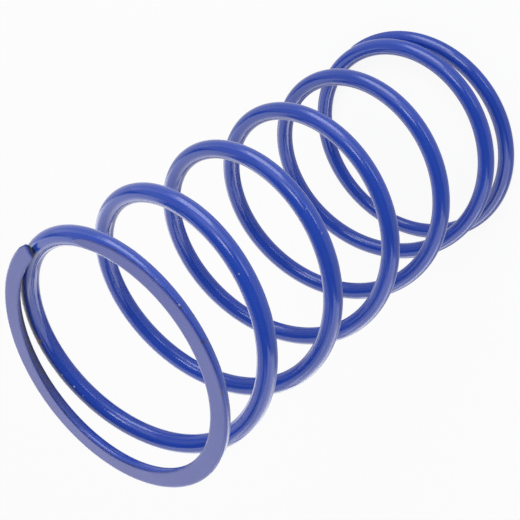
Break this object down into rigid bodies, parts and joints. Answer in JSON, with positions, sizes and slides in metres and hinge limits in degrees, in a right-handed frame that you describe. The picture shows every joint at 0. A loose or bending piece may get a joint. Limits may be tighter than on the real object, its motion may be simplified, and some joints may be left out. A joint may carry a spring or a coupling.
{
  "type": "torque spring",
  "caption": "Helical compression spring of blue coated round wire, wound left-handed, with closed ends ground flat, that loads the driven pulley of a belt drive.",
  "frame": {"origin": "centre of the lower ground end, on the coil axis", "axes": "+Z along the coil axis from the lower ground end to the upper one; +X through both cut tips of the wire"},
  "size_m": [0.0619, 0.0622, 0.126],
  "materials": {
    "coat": "gloss blue coat on spring steel wire, satin on the ground ends"
  },
  "bodies": {
    "root": {"coil": "coat"}
  },
  "joints": []
}
